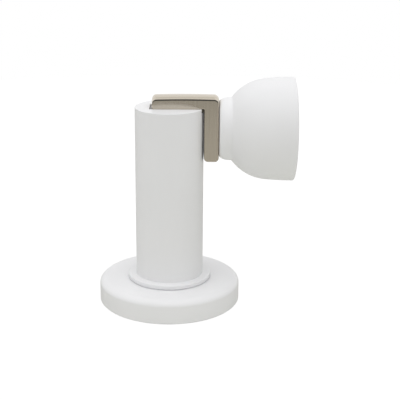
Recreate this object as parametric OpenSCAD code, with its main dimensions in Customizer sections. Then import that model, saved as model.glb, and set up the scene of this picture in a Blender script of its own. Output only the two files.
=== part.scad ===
// Magnetic door stop and holder.
// A round post stands on a floor plate under a cover rose. The door's bell carries an
// L-shaped catch, which slides into a slot across the post's top and is held by a magnet.
// Millimetres. The origin is on the floor, on the post's axis. +Z is up, +X points to the door.

/* [Post] */
// Diameter of the post
post_d = 25; // [22:0.5:30]
// Height of the post's top above the floor
post_h = 73.9; // [60:0.1:110]
// Rounding of the post's top rim
rim_round = 0.2; // [0.2:0.1:1]
// Diameter of the bore that holds the magnet, its spacer and the threaded bush
bore_d = 12.2; // [10:0.1:14]
// Diameter of the post's foot flange
flange_d = 30.9; // [29:0.1:36]
// Thickness of the foot flange
flange_t = 1.4; // [1.1:0.1:3]
// Rounding of the foot flange's upper edge
flange_round = 0.8; // [0.3:0.1:1]
// Diameter of the spigot under the flange, which stands on the floor plate
spigot_d = 17; // [16:0.5:20]

/* [Base] */
// Diameter of the cover rose
rose_d = 52.6; // [48:0.2:65]
// Height of the cover rose
rose_h = 8.6; // [7:0.1:14]
// Rounding of the rose's upper edge
rose_round = 3.1; // [2:0.1:5]
// Wall thickness of the rose
rose_wall = 1.8; // [1:0.1:2.5]
// Chamfer on the rose's lower edge
rose_foot_break = 0.3; // [0.1:0.1:0.6]
// Clearance between the floor plate and the rose's wall
plate_gap = 2; // [0.5:0.1:3]
// Thickness of the floor plate
plate_t = 3.5; // [3.2:0.1:4.5]
// Distance of the floor plate's screw holes from its rim
floor_hole_margin = 6; // [5:0.1:7]
// Diameter of the floor plate's screw holes
floor_hole_d = 4.5; // [3.5:0.1:5]
// Number of screw holes in the floor plate
floor_holes = 3; // [2:1:6]
// Thickness of the washer between the flange and the rose
washer_t = 0.35; // [0.2:0.05:1]
// How far that washer's rim lies back from the flange's rim
washer_inset = 0.45; // [0.2:0.05:1]
// Nominal diameter of the centre screw
centre_screw_d = 6; // [5:0.5:6]
// Length of the centre screw, head included
centre_screw_l = 16; // [12:0.5:18]
// Height of the threaded bush in the post's foot
bush_h = 16; // [12:0.5:20]

/* [Magnet] */
// Height of the magnet's steel cup
cup_h = 7; // [5:0.5:10]
// Wall thickness of the cup
cup_wall = 1.1; // [0.8:0.1:1.5]
// Thickness of the cup's floor
cup_floor = 1.4; // [1:0.1:2]
// Wall thickness of the spacer tube under the cup
spacer_wall = 1.8; // [1:0.1:3]

/* [Catch] */
// Width of the catch
catch_w = 8.8; // [7.5:0.1:9.5]
// Thickness of the upright leg of the catch
leg_t = 5.4; // [5:0.1:7]
// Thickness of the arm across the post, in the middle of its crowned top
arm_t = 6.1; // [5.5:0.1:7]
// How much the arm's crowned top rises above its long edges
arm_crown = 1.15; // [0.4:0.05:1.4]
// Length of the arm, from the post's side to its free end
catch_reach = 18.8; // [17:0.1:20]
// Height of the catch, from the foot of its leg to the top of its arm
catch_h = 24.2; // [21:0.1:27]
// How far the catch stands above the post's top
catch_stand = 4.6; // [4:0.1:5]
// Rounding of the catch's outer long edges
catch_edge = 0.6; // [0.3:0.1:0.8]
// Rounding of the corner where the arm meets the leg
catch_corner = 1.9; // [1.3:0.1:3]
// Rounding at the ends of the arm and the leg, seen from the front
catch_end_round = 1.3; // [0.8:0.1:2]
// Clearance between the catch and the post
catch_gap = 0.1; // [0.05:0.05:0.3]
// Clearance on each side of the catch in the slot
slot_side_gap = 0.1; // [0.1:0.05:0.5]
// Clearance beyond the catch's free end in the slot
slot_end_gap = 0.9; // [0.3:0.1:1.5]

/* [Bell] */
// Drop from the top of the catch to the bell's axis
axis_drop = 12.6; // [11:0.1:13.5]
// Diameter of the bell's neck
neck_d = 22.9; // [20:0.1:25]
// Length of the neck
neck_l = 4.5; // [4.2:0.1:7]
// Rounding of the neck's end
neck_round = 3.6; // [1:0.1:4]
// Thickness of the wall that closes the neck
neck_wall = 4; // [3:0.1:5]
// Diameter of the bell, whose dome is part of a ball of the same diameter
bell_d = 37.6; // [34:0.2:42]
// Length of the bell, from the neck's end to the mouth
bell_l = 27.1; // [24:0.1:40]
// Wall thickness of the bell
bell_wall = 2.8; // [2.4:0.1:3.5]
// Rounding of the mouth's edge
mouth_round = 0.5; // [0.2:0.1:0.8]
// Clearance between the neck and the catch
swivel_gap = 0.1; // [0.05:0.05:0.3]

/* [Door plate] */
// Thickness of the plate in the bell's mouth
door_plate_t = 4.5; // [4.2:0.1:6]
// Depth of the step that the door plate seats on
door_step = 0.6; // [0.4:0.1:1]
// Clearance round the door plate
door_plate_gap = 0.1; // [0.05:0.05:0.3]
// Distance of the door plate's screw holes from its rim
door_hole_margin = 6.5; // [6:0.1:8]
// Diameter of the door plate's screw holes
door_hole_d = 4.5; // [3.5:0.1:5]
// Number of screw holes in the door plate
door_holes = 3; // [2:1:4]
// Nominal diameter of the grub screw that holds the bell on its plate
grub_d = 3; // [2:0.5:3]
// How far the grub screw lies below the bell's surface
grub_sink = 0.4; // [0.2:0.1:0.8]

/* [Catch screw] */
// Nominal diameter of the catch screw
screw_d = 5; // [4:0.5:5]
// Diameter of the catch screw's head
screw_head_d = 9.5; // [8.5:0.1:10]
// Height of the catch screw's head
screw_head_h = 2.8; // [2.2:0.1:3.5]
// Clearance between the screw's tip and the catch's inner face
screw_tip_gap = 0.5; // [0.2:0.1:1.5]
// Wall thickness of the nylon bush in the neck
sleeve_wall = 1.1; // [0.8:0.1:1.5]
// Thickness of the bush's flange
sleeve_flange_t = 1; // [0.6:0.1:1.5]
// Thickness of the flat washer under the screw's head
flat_washer_t = 1; // [0.6:0.1:1.2]
// Thickness of the spring washer's sheet
spring_sheet = 0.5; // [0.3:0.05:0.6]
// Rise of the spring washer's cone
spring_rise = 0.5; // [0.3:0.05:0.8]

/* [Hidden] */

$fn = 96;
// a little more than nothing, so that a cut passes right through a face
over = 1;
// clearance of a screw's thread in its tapped hole, and of a piece in its bore
thread_gap = 0.02;
bore_gap = 0.1;
// clearance of a screw in a plain hole, on the radius
shank_gap = 0.1;
// how much wider a countersink is than the screw that it takes
sink_gap = 0.1;
// hexagon sockets: width across flats and depth, as a share of the screw's diameter
socket_share = 0.66;
grub_socket_share = 0.5;
socket_depth_share = 0.4;

post_r = post_d / 2;
bore_r = bore_d / 2;
flange_r = flange_d / 2;
spigot_r = spigot_d / 2;
rose_r = rose_d / 2;
plate_r = rose_r - rose_wall - plate_gap;
floor_pcd = 2 * (plate_r - floor_hole_margin);
flange_z = rose_h + washer_t;
flange_top_z = flange_z + flange_t;

catch_in_x = post_r + catch_gap;
catch_out_x = catch_in_x + leg_t;
catch_end_x = catch_in_x - catch_reach;
catch_top_z = post_h + catch_stand;
arm_under_z = catch_top_z - arm_t;
catch_foot_z = catch_top_z - catch_h;
slot_floor_z = arm_under_z - catch_gap;
slot_w = catch_w + 2 * slot_side_gap;
slot_end_x = catch_end_x - slot_end_gap;
bush_top_z = plate_t + bush_h;
cup_z = slot_floor_z - cup_h;
cup_r = bore_r - bore_gap;
// the magnet's face lies a little below the rim of its cup
magnet_sink = 0.1;

bell_axis_z = catch_top_z - axis_drop;
bell_r = bell_d / 2;
neck_r = neck_d / 2;
neck_x = catch_out_x + swivel_gap;
dome_x = neck_x + neck_l;
mouth_x = neck_x + bell_l;
// the ball meets the neck at dome_x, and runs into the straight rim at its own centre
ball_x = dome_x + sqrt(pow(bell_r, 2) - pow(neck_r, 2));
bell_floor_x = neck_x + neck_wall;
seat_x = mouth_x - door_plate_t;
door_seat_r = bell_r - bell_wall + door_step;
door_plate_r = door_seat_r - door_plate_gap;
door_pcd = 2 * (door_plate_r - door_hole_margin);
grub_x = mouth_x - door_plate_t / 2;
grub_groove = 0.9;

screw_r = screw_d / 2;
sleeve_in_r = screw_r + shank_gap;
sleeve_r = sleeve_in_r + sleeve_wall;
sleeve_flange_r = screw_head_d / 2 + 0.5;
sleeve_top_x = bell_floor_x + sleeve_flange_t;
washer_x = sleeve_top_x + swivel_gap / 2;
spring_x = washer_x + flat_washer_t;
screw_head_x = spring_x + spring_sheet + spring_rise;
head_pocket_r = sleeve_flange_r + 0.4;

// half of a disc's section, on the axis, with its upper outer edge rounded
module rounded_disc_section(r, h, round) {
    square([r - round, h]);
    square([r, h - round]);
    translate([r - round, h - round]) intersection() {
        circle(round);
        square(round);
    }
}

// a ring or tube between two heights
module tube(r_out, r_in, z0, z1) {
    translate([0, 0, z0]) difference() {
        cylinder(r = r_out, h = z1 - z0);
        translate([0, 0, -over]) cylinder(r = r_in, h = z1 - z0 + 2 * over);
    }
}

// turns +Z onto the bell's axis, with X as the height
module about_bell_axis() {
    translate([0, 0, bell_axis_z]) rotate([0, 90, 0]) children();
}

// places children round a pitch circle
module round_pattern(pcd, count) {
    for (i = [0 : count - 1])
        rotate([0, 0, i * 360 / count]) translate([pcd / 2, 0, 0]) children();
}

// a screw hole with its countersink, for a plate whose face is at z = t
module countersunk_hole(d, t) {
    translate([0, 0, -over]) cylinder(d = d, h = t + 2 * over);
    translate([0, 0, t - d / 2]) cylinder(d1 = d, d2 = 2 * d, h = d / 2);
    translate([0, 0, t]) cylinder(d = 2 * d, h = over);
}

// a hexagon socket that opens at z = 0 and goes down
module hex_socket(flats, depth) {
    translate([0, 0, -depth]) cylinder(r = flats / 2 / cos(30), h = depth + over, $fn = 6);
}

// the body of the post: spigot, foot flange, shaft and rounded rim
module post_blank() {
    cylinder_from(plate_t, flange_z, spigot_r);
    translate([0, 0, flange_z]) rotate_extrude() rounded_disc_section(flange_r, flange_t, flange_round);
    translate([0, 0, flange_z]) rotate_extrude() rounded_disc_section(post_r, post_h - flange_z, rim_round);
}

module cylinder_from(z0, z1, r) {
    translate([0, 0, z0]) cylinder(r = r, h = z1 - z0);
}

module post() {
    color("#EEEEEC") difference() {
        post_blank();
        cylinder_from(plate_t - over, slot_floor_z, bore_r);
        translate([slot_end_x, -slot_w / 2, slot_floor_z])
            cube([post_r - slot_end_x + over, slot_w, post_h - slot_floor_z + over]);
    }
}

module cover_rose() {
    color("#F0F0EE") difference() {
        rotate_extrude() difference() {
            rounded_disc_section(rose_r, rose_h, rose_round);
            translate([rose_r, 0]) rotate(45) square(rose_foot_break * sqrt(2), center = true);
        }
        translate([0, 0, -over]) rotate_extrude()
            rounded_disc_section(rose_r - rose_wall, rose_h - rose_wall + over, rose_round - rose_wall / 2);
        cylinder_from(0, rose_h + over, spigot_r + bore_gap);
    }
}

module foot_washer() {
    color("#9AA0A8") tube(flange_r - washer_inset, spigot_r + bore_gap, rose_h, flange_z);
}

module floor_plate() {
    head_r = centre_screw_d + sink_gap;
    shank_r = centre_screw_d / 2 + shank_gap;
    color("#B9BBBE") difference() {
        cylinder(r = plate_r, h = plate_t);
        round_pattern(floor_pcd, floor_holes) countersunk_hole(floor_hole_d, plate_t);
        translate([0, 0, -over]) cylinder(r = shank_r, h = plate_t + 2 * over);
        cylinder(r1 = head_r, r2 = shank_r, h = head_r - shank_r);
        translate([0, 0, -over]) cylinder(r = head_r, h = over);
    }
}

module centre_screw() {
    r = centre_screw_d / 2;
    color("#A9ABAE") difference() {
        union() {
            cylinder(r1 = 2 * r, r2 = r, h = r);
            cylinder(r = r - thread_gap, h = centre_screw_l);
        }
        mirror([0, 0, 1]) hex_socket(socket_share * centre_screw_d, socket_depth_share * centre_screw_d);
    }
}

module threaded_bush() {
    color("#C9A85C") tube(bore_r, centre_screw_d / 2, plate_t, bush_top_z);
}

module spacer_tube() {
    color("#D8D8D2") tube(cup_r, cup_r - spacer_wall, bush_top_z, cup_z);
}

module magnet_cup() {
    color("#B4B6B8") difference() {
        cylinder_from(cup_z, slot_floor_z, cup_r);
        cylinder_from(cup_z + cup_floor, slot_floor_z + over, cup_r - cup_wall);
    }
}

module magnet() {
    color("#6E7074") cylinder_from(cup_z + cup_floor, slot_floor_z - magnet_sink, cup_r - cup_wall);
}

// a rectangle with one radius for each corner: low left, low right, high left, high right
module rounded_box(low, high, radii) {
    mid = (low + high) / 2;
    corners = [low, [high.x, low.y], [low.x, high.y], high];
    difference() {
        translate(low) square(high - low);
        for (i = [0 : 3]) translate(corners[i])
            scale([corners[i].x < mid.x ? 1 : -1, corners[i].y < mid.y ? 1 : -1]) corner_waste(radii[i]);
    }
}

// what a rounding takes away from a corner at the origin, with the piece to its upper right
module corner_waste(r) {
    difference() {
        translate([-over, -over]) square(r + over);
        translate([r, r]) circle(r);
    }
}

// the catch from the front: an arm and a leg, with X to the right and Z up
module catch_front_view() {
    end = catch_end_round;
    rounded_box([catch_end_x, arm_under_z], [catch_out_x, catch_top_z], [end, catch_edge, end, catch_corner]);
    rounded_box([catch_in_x, catch_foot_z], [catch_out_x, catch_top_z], [end, end, catch_edge, catch_corner]);
}

// the catch from its free end: a crowned top that runs into both sides over the long edges' roundings
module catch_side_view() {
    crown_r = (pow(catch_w / 2, 2) + pow(arm_crown, 2)) / (2 * arm_crown);
    crown_z = catch_top_z - crown_r;
    edge_y = catch_w / 2 - catch_edge;
    rise = sqrt(pow(crown_r - catch_edge, 2) - pow(edge_y, 2));
    edge_z = crown_z + rise;
    rounded_box([-catch_w / 2, catch_foot_z], [catch_w / 2, edge_z], [catch_edge, catch_edge, 0, 0]);
    for (side = [-1, 1]) translate([side * edge_y, edge_z]) circle(catch_edge);
    // the wedge spreads from the crown's centre through both roundings' centres, well past the crown
    translate([0, crown_z]) intersection() {
        circle(crown_r);
        polygon([[0, 0], 2 * [edge_y, rise], 2 * [-edge_y, rise]]);
    }
}

// the catch from above, with X to the right
module catch_plan_view() {
    rounded_box([catch_end_x, -catch_w / 2], [catch_out_x, catch_w / 2], [for (i = [0 : 3]) catch_edge]);
}

// The catch is what its three views have in common.
module catch() {
    color("#A89C8A") difference() {
        intersection() {
            translate([0, catch_w / 2, 0]) rotate([90, 0, 0]) linear_extrude(catch_w) catch_front_view();
            translate([catch_end_x, 0, 0]) rotate([90, 0, 90])
                linear_extrude(catch_out_x - catch_end_x) catch_side_view();
            translate([0, 0, catch_foot_z]) linear_extrude(catch_h) catch_plan_view();
        }
        about_bell_axis() cylinder_from(catch_in_x - over, catch_out_x + over, screw_r);
    }
}

module catch_screw() {
    color("#A9ABAE") about_bell_axis() difference() {
        union() {
            cylinder_from(catch_in_x + screw_tip_gap, screw_head_x, screw_r - thread_gap);
            translate([0, 0, screw_head_x]) rotate_extrude()
                rounded_disc_section(screw_head_d / 2, screw_head_h, screw_head_h / 2);
        }
        translate([0, 0, screw_head_x + screw_head_h])
            hex_socket(socket_share * screw_d, socket_depth_share * screw_d);
    }
}

module flat_washer() {
    color("#C4C6C8") about_bell_axis()
        tube(screw_head_d / 2 + 0.3, screw_r + shank_gap, washer_x, spring_x);
}

// a conical sheet washer, resting on its outer rim
module spring_washer() {
    r_in = screw_r + shank_gap;
    r_out = screw_head_d / 2;
    color("#8E9094") about_bell_axis() translate([0, 0, spring_x]) rotate_extrude()
        polygon([[r_in, spring_rise], [r_out, 0], [r_out, spring_sheet], [r_in, spring_rise + spring_sheet]]);
}

// half of the bell's outer section: neck, dome and straight rim
module bell_section() {
    translate([0, neck_x]) {
        square([neck_r - neck_round, neck_l + over]);
        translate([0, neck_round]) square([neck_r, neck_l - neck_round]);
        translate([neck_r - neck_round, 0]) intersection() {
            translate([0, neck_round]) circle(neck_round);
            square(neck_round);
        }
    }
    intersection() {
        translate([0, ball_x]) circle(bell_r);
        translate([0, dome_x]) square([bell_r, ball_x - dome_x]);
    }
    translate([0, ball_x]) rounded_disc_section(bell_r, mouth_x - ball_x, mouth_round);
}

// half of the bell's hollow: screw pocket, dome, rim and the seat of the door plate
module bell_hollow_section() {
    translate([0, bell_floor_x]) square([head_pocket_r, screw_head_x - bell_floor_x]);
    intersection() {
        translate([0, ball_x]) circle(bell_r - bell_wall);
        translate([0, bell_floor_x]) square([bell_r, ball_x - bell_floor_x]);
    }
    translate([0, ball_x]) square([bell_r - bell_wall, seat_x - ball_x]);
    translate([0, seat_x]) square([door_seat_r, door_plate_t + over]);
}

// places children with +Z pointing down out of the bell, at the middle of the door plate
module at_grub_hole() {
    translate([grub_x, 0, bell_axis_z]) rotate([180, 0, 0]) children();
}

module bell() {
    color("#EDEEEB") difference() {
        about_bell_axis() difference() {
            rotate_extrude() bell_section();
            rotate_extrude() bell_hollow_section();
            cylinder_from(neck_x - over, bell_floor_x + over, sleeve_r);
        }
        at_grub_hole() cylinder_from(door_seat_r - over, bell_r + over, grub_d / 2);
    }
}

module neck_bush() {
    color("#E6E3D8") about_bell_axis() {
        tube(sleeve_r, sleeve_in_r, neck_x, bell_floor_x);
        tube(sleeve_flange_r, sleeve_in_r, bell_floor_x, sleeve_top_x);
    }
}

module door_plate() {
    color("#B9BBBE") difference() {
        about_bell_axis() translate([0, 0, seat_x]) rotate_extrude() difference() {
            square([door_plate_r, door_plate_t]);
            translate([door_plate_r, door_plate_t / 2]) rotate(45)
                square(grub_groove * sqrt(2), center = true);
        }
        about_bell_axis() translate([0, 0, mouth_x]) mirror([0, 0, 1])
            round_pattern(door_pcd, door_holes) countersunk_hole(door_hole_d, door_plate_t);
    }
}

module grub_screw() {
    tip = door_plate_r - grub_groove / 2;
    head = bell_r - grub_sink;
    r = grub_d / 2 - thread_gap;
    cone = grub_groove / 2;
    color("#A9ABAE") at_grub_hole() difference() {
        union() {
            translate([0, 0, tip]) cylinder(r1 = 0.1, r2 = cone + 0.1, h = cone);
            cylinder_from(tip + cone, head, r);
        }
        translate([0, 0, head]) hex_socket(grub_socket_share * grub_d, socket_depth_share * grub_d);
    }
}

post();
cover_rose();
foot_washer();
floor_plate();
centre_screw();
threaded_bush();
spacer_tube();
magnet_cup();
magnet();
catch();
catch_screw();
flat_washer();
spring_washer();
bell();
neck_bush();
door_plate();
grub_screw();
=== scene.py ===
"""Finishes and studio for a magnetic door stop, laid out as an add-on.

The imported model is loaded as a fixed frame. Geometry nodes turn the white pieces, the plates and
the screws from their half sections, with the threads and the patterns of holes. The catch is a
row of rounded outlines under a crown, with brushed grain. Lengths are metres, and MM is one
millimetre.
"""
import functools
import math

import bmesh
import bpy
from bpy.props import FloatProperty, FloatVectorProperty, IntProperty, PointerProperty
from mathutils import Matrix, Vector


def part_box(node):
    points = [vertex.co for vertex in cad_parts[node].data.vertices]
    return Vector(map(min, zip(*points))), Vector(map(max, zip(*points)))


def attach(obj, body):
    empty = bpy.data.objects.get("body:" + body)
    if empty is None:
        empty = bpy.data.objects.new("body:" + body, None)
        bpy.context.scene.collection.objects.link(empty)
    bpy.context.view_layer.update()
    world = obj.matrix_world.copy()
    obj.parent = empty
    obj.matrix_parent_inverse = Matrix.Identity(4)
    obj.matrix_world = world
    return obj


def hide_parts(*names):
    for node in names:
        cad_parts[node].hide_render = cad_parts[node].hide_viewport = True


bl_info = {
    "name": "Magnetic Door Stop",
    "version": (1, 0, 0),
    "blender": (4, 5, 0),
    "location": "View3D > Sidebar > Door Stop",
    "description": "Builds the pieces, the finishes and the studio of a magnetic door stop",
    "category": "Add Mesh",
}

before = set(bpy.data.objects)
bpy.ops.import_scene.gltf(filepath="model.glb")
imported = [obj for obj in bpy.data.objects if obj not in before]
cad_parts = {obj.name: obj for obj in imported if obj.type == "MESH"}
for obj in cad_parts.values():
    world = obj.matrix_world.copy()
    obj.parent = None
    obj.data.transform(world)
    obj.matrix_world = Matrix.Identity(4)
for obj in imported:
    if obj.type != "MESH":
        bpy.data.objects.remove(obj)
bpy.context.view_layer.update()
MM = 0.001
GRAIN_UV = "grain"
# Name of the face attribute that marks painted shade on the catch.
PAINTED_SHADE_LAYER = "painted_shade"

# Clearances, and how far a cutting tool runs past its piece.
WELD = 0.002 * MM
SLIP = 0.1 * MM
POCKET_ROOM = 0.4 * MM
OVER = 1 * MM

# Sides of turned pieces and of the tools that cut their holes.
PLATE_SIDES = 160
SCREW_SIDES = 96
GRUB_SIDES = 72
TOOL_SIDES = 64
GRUB_TOOL_SIDES = 48

# Screws: gap and rows of a thread, chamfers, and sockets as shares of the thread's size.
THREAD_GAP = 0.02 * MM
THREAD_ROWS = 8
CHAMFER = 0.3 * MM
NECK_LENGTH = 0.2 * MM
CATCH_SCREW_RADIUS = 2.5 * MM
SOCKET_FLATS = 0.66
SOCKET_DEPTH = 0.4
GRUB_CHAMFER = 0.2 * MM
GRUB_CONE = 0.45 * MM
GRUB_POINT = 0.1 * MM
GRUB_SOCKET_DEPTH = 0.8

# The catch: its relief where it is closed, how squarely a face must turn to count as facing one
# way, the thin skin of its faces, and the painted shade on the faces against the post: how strong
# that painted shade is in the hollow of the inner corner, and how far the hollow reaches, in widths
# of the relief.
CLOSED = WELD / MM
FACING = 0.7
FACE_SKIN = 0.1 * MM
HOLLOW_PAINTED_SHADE = 0.7
HOLLOW_REACH = 1.6

# The light tent and the mirrored room, by height from 0 below to 1 above.
WALL_HEIGHTS = (0.5, 0.675, 0.85, 1.0)
LIGHT_SCALE = 4
ROOM_BEHIND = ((0, 0.9), (0.5, 1), (0.93, 1), (0.97, 0.2), (1, 0.12))
ROOM_BEFORE = ((0, 0.4), (0.5, 0.36), (0.56, 0.16), (0.64, 0.06), (1, 0.06))
ROOM_BLEND = 0.2
FADE_START, FADE_END = 0.315, 0.355
PAPER_LIGHT = 0.93
PAPER_SHADOW = (0.12, 0.12, 0.12, 1)
WHITE = (1, 1, 1, 1)
WARM_WHITE = (1, 0.985, 0.92, 1)
SENSOR_WIDTH = 36
CAMERA_RANGE = (0.01, 10)
FLOOR_SIDES = 96

# Finishes.
# Painted shade: a near-black, unmetallic colour that the catch takes where it lies against the
# post, under its arm and in its hollow, in place of the shade there.
PAINTED_SHADE_COLOUR = (0.066, 0.060, 0.045, 1)
ZINC_COLOUR = (0.60, 0.61, 0.63)
MAGNET_COLOUR = (0.52, 0.52, 0.53)
BRASS_COLOUR = (0.72, 0.56, 0.30)
WHITE_NYLON = (0.80, 0.79, 0.75)
GREY_NYLON = (0.93, 0.95, 0.97)
COAT_CLOUD = 30 * MM
PLATE_MOTTLE = 2.5 * MM
PLATE_SCRATCH = 1.6 * MM
NYLON_GRAIN = 0.4 * MM
BRASS_RING = 0.15 * MM

ZINC_NODES = ("flat_washer", "spring_washer", "magnet_cup")
BODY_OF = {"post": "stand", "cover_rose": "stand", "floor_plate": "stand", "centre_screw": "stand",
           "catch": "catch", "catch_screw": "catch", "bell": "bell", "door_plate": "bell",
           "grub_screw": "bell"}
NYLON_NODES = ("spacer_tube", "neck_bush")


def millimetres(name, description, default, low, high):
    """A property that holds a length. Its default and its limits are given in millimetres."""
    return FloatProperty(name=name, description=description, default=default * MM,
                         min=low * MM, max=high * MM, unit="LENGTH")


def share(name, description, default, low, high=1):
    """A property that holds a share of a whole."""
    return FloatProperty(name=name, description=description, default=default,
                         min=low, max=high, subtype="FACTOR")


def in_degrees(name, description, default):
    """A property that holds an angle. Its default is given in degrees."""
    return FloatProperty(name=name, description=description, subtype="ANGLE",
                         default=math.radians(default))


def brightness(name, description, default, high):
    """A property that holds how bright something is."""
    return FloatProperty(name=name, description=description, default=default, min=0, max=high)


def tint(name, description, default):
    """A property that holds a colour."""
    return FloatVectorProperty(name=name, description=description, default=default,
                               subtype="COLOR", size=3, min=0, max=1)


def wall_light(name, description, default):
    """A property that holds a wall's light at three heights."""
    return FloatVectorProperty(name=name, description=description, default=default,
                               size=3, min=0, max=4)


class CoatSettings(bpy.types.PropertyGroup):
    """White powder coat of the post, the rose and the bell."""
    colour: tint("Coat colour", "Colour of the white powder coat", (0.856, 0.856, 0.866))
    roughness: share("Coat roughness", "How matt the coat is", 0.42, 0.05)
    peel_size: millimetres("Peel size", "Width of one dimple of the coat's skin", 0.7, 0.1, 3)
    peel_depth: millimetres("Peel depth", "Depth of the coat's dimples", 0.004, 0, 0.1)


class NickelSettings(bpy.types.PropertyGroup):
    """Brushed satin nickel of the catch."""
    colour: tint("Nickel colour", "Colour of the plated steel", (0.61, 0.553, 0.467))
    roughness: share("Nickel roughness", "Blur of what the satin metal reflects", 0.15, 0.05)
    speck_size: millimetres("Speck size", "Width of one fleck of the satin grain", 0.22, 0.05, 1)
    streak_width: millimetres("Streak width", "Width of one brush mark", 0.12, 0.02, 1)
    streak_length: millimetres("Streak length", "Length of one brush mark", 9, 1, 40)
    streak_depth: millimetres("Streak depth", "Depth of the brush marks", 0.0006, 0, 0.05)


class CatchSettings(bpy.types.PropertyGroup):
    """Shape of the catch, inside the box that the frame gives it."""
    leg_thickness: millimetres("Leg thickness", "Thickness of the upright leg", 5.4, 3, 8)
    arm_thickness: millimetres(
        "Arm thickness", "Thickness of the arm, in the middle of its top", 6.1, 3, 8)
    crown: millimetres("Crown", "Rise of the arm's top above its long edges", 1.15, 0.2, 1.5)
    edge_round: millimetres(
        "Edge rounding", "Radius of the rim round the catch's two faces", 0.6, 0.1, 1)
    inner_edge_share: share(
        "Inner edge", "Rounding of the leg's inner edge as a share of the rim's", 0.2, 0.05)
    arch: millimetres("Arch", "How much lower the arm's top is at its two ends", 0.2, 0, 0.5)
    corner_round: millimetres(
        "Outer corner", "Radius of the corner where arm and leg meet", 1.8, 1, 4)
    end_round: millimetres("End rounding", "Radius at the ends of arm and leg", 1.5, 0.7, 2)
    relief_width: millimetres(
        "Relief width", "Width of the hollow in the inner corner", 1.0, 0.1, 2)
    relief_height: millimetres(
        "Relief height", "Height of the hollow in the inner corner", 1.4, 0.1, 3)
    relief_round: millimetres(
        "Relief rounding", "Rounding of that hollow beside the leg", 0.5, 0.1, 0.9)
    relief_depth: millimetres(
        "Relief depth", "Depth of that hollow from the catch's two faces", 1.6, 0.8, 4)
    hole_radius: millimetres(
        "Screw hole", "Radius of the tapped hole in the upright leg", 2.5, 1, 3)
    arc_steps: IntProperty(
        name="Arc steps", description="Faces in each rounded corner", min=4, max=32, default=12)


class TurningSettings(bpy.types.PropertyGroup):
    """Sections of the post, the rose and the bell, inside their boxes in the frame."""
    steps: IntProperty(
        name="Steps round", description="Faces round each turned piece",
        min=32, max=360, default=192)
    shaft_radius: millimetres("Shaft radius", "Radius of the post's shaft", 12.5, 8, 16)
    rim_round: millimetres("Rim rounding", "Rounding of the post's top rim", 0.2, 0.05, 1)
    flange_thickness: millimetres(
        "Flange thickness", "Thickness of the post's foot flange", 1.4, 1, 3)
    flange_round: millimetres(
        "Flange rounding", "Rounding of the foot flange's upper edge", 0.4, 0.1, 1)
    spigot_radius: millimetres("Spigot radius", "Radius of the spigot under the flange", 8.5, 7, 10)
    bore_radius: millimetres("Bore radius", "Radius of the post's bore", 6.1, 5, 7)
    slot_width: millimetres("Slot width", "Width of the slot across the post's top", 9.0, 7, 11)
    slot_depth: millimetres("Slot depth", "Depth of the slot across the post's top", 1.6, 0.5, 4)
    slot_end_gap: millimetres(
        "Slot end", "Room beyond the catch's free end in the slot", 0.9, 0.2, 2)
    rose_round: millimetres(
        "Rose rounding", "How far in the rose's upper edge begins to fall", 3.5, 1, 6)
    rose_drop: millimetres(
        "Rose edge drop", "How far down the rose's upper edge reaches", 2.1, 1, 5)
    rose_wall: millimetres("Rose wall", "Wall thickness of the rose", 1.8, 1, 3)
    rose_foot_break: millimetres("Rose foot", "Chamfer at the rose's lower edge", 0.3, 0.1, 1)
    neck_radius: millimetres("Neck radius", "Radius of the bell's neck", 11.45, 8, 14)
    neck_length: millimetres("Neck length", "Length of the bell's neck", 4.5, 3, 8)
    neck_round: millimetres("Neck rounding", "Rounding of the neck's end", 3.6, 1, 4)
    neck_drop: millimetres(
        "Neck end drop", "How far the neck's end rounds down towards its axis", 1.8, 0.5, 4)
    dome_radius: millimetres(
        "Dome radius", "Radius of the bell's outline behind the neck", 17.0, 10, 18)
    flare_radius: millimetres(
        "Flare radius", "Radius of the bell's outline before the mouth", 120, 40, 300)
    neck_fillet: millimetres(
        "Neck fillet", "Hollow rounding where the neck meets the dome", 1.2, 0.2, 1.7)
    neck_wall: millimetres("Neck wall", "Thickness of the wall that closes the neck", 4.0, 3, 5)
    neck_hole_radius: millimetres(
        "Neck hole", "Radius of the hole for the nylon bush in the neck", 3.7, 3, 5)
    bell_wall: millimetres("Bell wall", "Wall thickness of the bell", 2.8, 2, 4)
    mouth_round: millimetres("Mouth rounding", "Rounding of the mouth's edge", 0.5, 0.1, 1)
    seat_step: millimetres(
        "Seat step", "Depth of the step that the door plate seats on", 0.6, 0.3, 1)


class FastenerSettings(bpy.types.PropertyGroup):
    """Holes of the plates, and threads and sockets of the screws."""
    hole_count: IntProperty(
        name="Plate holes", description="Screw holes in each plate", min=2, max=6, default=3)
    hole_radius: millimetres("Plate hole", "Radius of the plates' screw holes", 2.25, 1.5, 3)
    floor_circle: millimetres(
        "Floor hole circle", "Radius of the floor plate's hole circle", 16.5, 10, 20)
    door_circle: millimetres(
        "Door hole circle", "Radius of the door plate's hole circle", 10, 6, 14)
    groove: millimetres("Groove", "Depth of the groove round the door plate", 0.9, 0.3, 1.5)
    centre_pitch: millimetres("Centre screw pitch", "Pitch of the centre screw's thread", 1, 0.3, 2)
    catch_pitch: millimetres("Catch screw pitch", "Pitch of the catch screw's thread", 0.8, 0.3, 2)
    grub_pitch: millimetres("Grub screw pitch", "Pitch of the grub screw's thread", 0.5, 0.3, 2)
    thread_share: share("Thread depth", "Depth of a thread as a share of its pitch", 0.55, 0.2, 0.7)


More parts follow.
